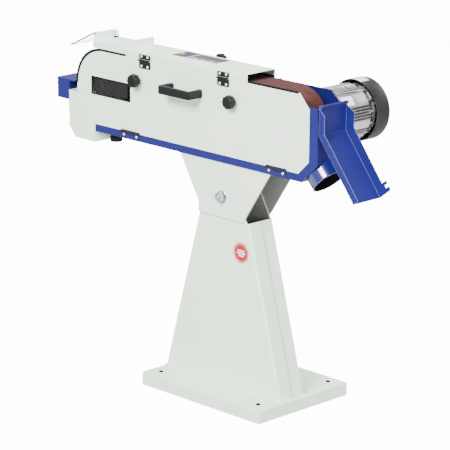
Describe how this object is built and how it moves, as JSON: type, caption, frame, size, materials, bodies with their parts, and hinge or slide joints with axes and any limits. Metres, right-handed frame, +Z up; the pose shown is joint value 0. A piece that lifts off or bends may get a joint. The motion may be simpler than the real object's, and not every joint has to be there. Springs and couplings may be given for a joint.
{
  "type": "pedestal belt grinder",
  "caption": "Two-wheel belt grinder on a tapered pedestal, with a contact wheel, driven drum, hinged door, hinged top cover, visor, rear guard and tilting head.",
  "frame": {"origin": "middle of the base on the floor, on the underside of the base stiffener", "axes": "+Z up; -X towards the contact wheel end where work is ground, +X towards the motor-driven drum; -Y towards the door, +Y towards the motor"},
  "size_m": [1.1742, 0.429, 0.939],
  "materials": {
    "white": "satin light grey-green enamel",
    "blue": "semi-gloss blue enamel",
    "zinc": "bright zinc plate",
    "steel": "machined",
    "blackmetal": "black coated steel",
    "graphite": "graphite cloth facing",
    "belt": "abrasive coated cloth",
    "alu": "as cast and machined",
    "greycover": "dark grey paint",
    "black": "moulded black",
    "rubber": "ground rubber tyre",
    "green": "moulded green",
    "red": "moulded red",
    "clear": "clear sheet"
  },
  "bodies": {
    "stand": {"base_plate": "white", "base_stiffener": "white", "column_front_shell": "white", "column_back_shell": "white", "pivot_sleeve": "zinc", "pivot_bolt": "zinc", "pivot_nut": "zinc", "pivot_washer_front": "zinc", "pivot_washer_back": "zinc"},
    "drum": {"motor_shaft": "steel", "drive_drum": "alu", "cooling_fan": "black", "drum_screw": "zinc"},
    "fork": {"wheel_fork": "blackmetal", "wheel_axle": "steel"},
    "contact_wheel": {"contact_wheel_tyre": "rubber", "contact_wheel_hub": "alu", "wheel_bearing_front": "steel", "wheel_bearing_back": "steel"},
    "lever": {"tension_lever": "blackmetal"},
    "tracking": {"tracking_knob": "black"},
    "start": {"start_button": "green"},
    "stop": {"stop_button": "red"},
    "door": {"door_panel": "white", "door_handle": "black", "cover_hinge_base_left": "black", "cover_hinge_base_right": "black"},
    "left_door_knob": {"door_knob_left": "black"},
    "right_door_knob": {"door_knob_right": "black"},
    "cover": {"top_cover": "white", "cover_hinge_leaf_left": "black", "cover_hinge_leaf_right": "black"},
    "top_knob": {"cover_knob": "black"},
    "visor": {"visor_pane": "clear"},
    "guard": {"rear_guard": "blue"},
    "rest": {"work_rest": "blue"},
    "head": {"pivot_bracket": "white", "frame_shell": "blue", "dust_nozzle": "blue", "frame_back_plate": "blue", "platen": "graphite", "platen_bracket": "steel", "knob_post_left": "zinc", "knob_post_right": "zinc", "sanding_belt": "belt", "spark_box": "white", "wheel_hood": "white", "visor_bracket": "white", "door_hinge_left": "blackmetal", "door_hinge_right": "blackmetal", "motor_flange": "alu", "motor_housing": "alu", "stator_core": "blackmetal", "motor_end_shield": "alu", "fan_cover": "greycover", "switch_box": "black", "cable_gland": "black", "fork_guide_block": "blackmetal", "tension_spring": "steel"}
  },
  "joints": [
    {"name": "head_tilt", "type": "hinge", "parent": "stand", "child": "head", "pos_m": [-0.003, -0.0365, 0.566], "axis": [0, 1, 0], "range_deg": [0, 60]},
    {"name": "drum_spin", "type": "hinge", "parent": "head", "child": "drum", "pos_m": [0.202, -0.0395, 0.792], "axis": [0, 1, 0], "continuous": true},
    {"name": "fork_slide", "type": "slide", "parent": "head", "child": "fork", "axis": [1, 0, 0], "range_m": [0, 0.01]},
    {"name": "wheel_spin", "type": "hinge", "parent": "fork", "child": "contact_wheel", "pos_m": [-0.484, -0.0395, 0.792], "axis": [0, 1, 0], "continuous": true},
    {"name": "tension_lever_turn", "type": "hinge", "parent": "head", "child": "lever", "pos_m": [-0.3, -0.069, 0.792], "axis": [0, 1, 0], "range_deg": [0, 90]},
    {"name": "tracking_turn", "type": "hinge", "parent": "head", "child": "tracking", "pos_m": [-0.474, -0.04, 0.636], "axis": [0, 0, 1], "range_deg": [-180, 180]},
    {"name": "door_swing", "type": "hinge", "parent": "head", "child": "door", "pos_m": [-0.1, -0.0952, 0.6805], "axis": [1, 0, 0], "range_deg": [0, 110]},
    {"name": "left_door_knob_turn", "type": "hinge", "parent": "door", "child": "left_door_knob", "pos_m": [-0.327, -0.11, 0.834], "axis": [0, -1, 0], "range_deg": [0, 360]},
    {"name": "right_door_knob_turn", "type": "hinge", "parent": "door", "child": "right_door_knob", "pos_m": [0.041, -0.11, 0.834], "axis": [0, -1, 0], "range_deg": [0, 360]},
    {"name": "cover_swing", "type": "hinge", "parent": "door", "child": "cover", "pos_m": [-0.14, -0.0965, 0.8915], "axis": [1, 0, 0], "range_deg": [0, 180]},
    {"name": "cover_knob_turn", "type": "hinge", "parent": "cover", "child": "top_knob", "pos_m": [-0.13, 0.03, 0.902], "axis": [0, 1, 0], "range_deg": [0, 360]},
    {"name": "visor_tilt", "type": "hinge", "parent": "head", "child": "visor", "pos_m": [-0.5102, -0.05, 0.937], "axis": [0, 1, 0], "range_deg": [0, 100]},
    {"name": "rear_guard_fold", "type": "hinge", "parent": "head", "child": "guard", "pos_m": [0.351, -0.04, 0.868], "axis": [0, -1, 0], "range_deg": [0, 225]},
    {"name": "work_rest_slide", "type": "slide", "parent": "head", "child": "rest", "axis": [-1, 0, 0], "range_m": [0, 0.01]},
    {"name": "start_press", "type": "slide", "parent": "head", "child": "start", "axis": [1, 0, 0], "range_m": [0, 0.004], "stiffness_N_per_m": 400, "springref_m": -0.002},
    {"name": "stop_press", "type": "slide", "parent": "head", "child": "stop", "axis": [1, 0, 0], "range_m": [0, 0.004], "stiffness_N_per_m": 400, "springref_m": -0.002}
  ],
  "couplings": [
    {"joint": "wheel_spin", "follows": "drum_spin", "ratio": 1},
    {"joint": "tension_lever_turn", "follows": "fork_slide", "rad_per_m": 157}
  ]
}
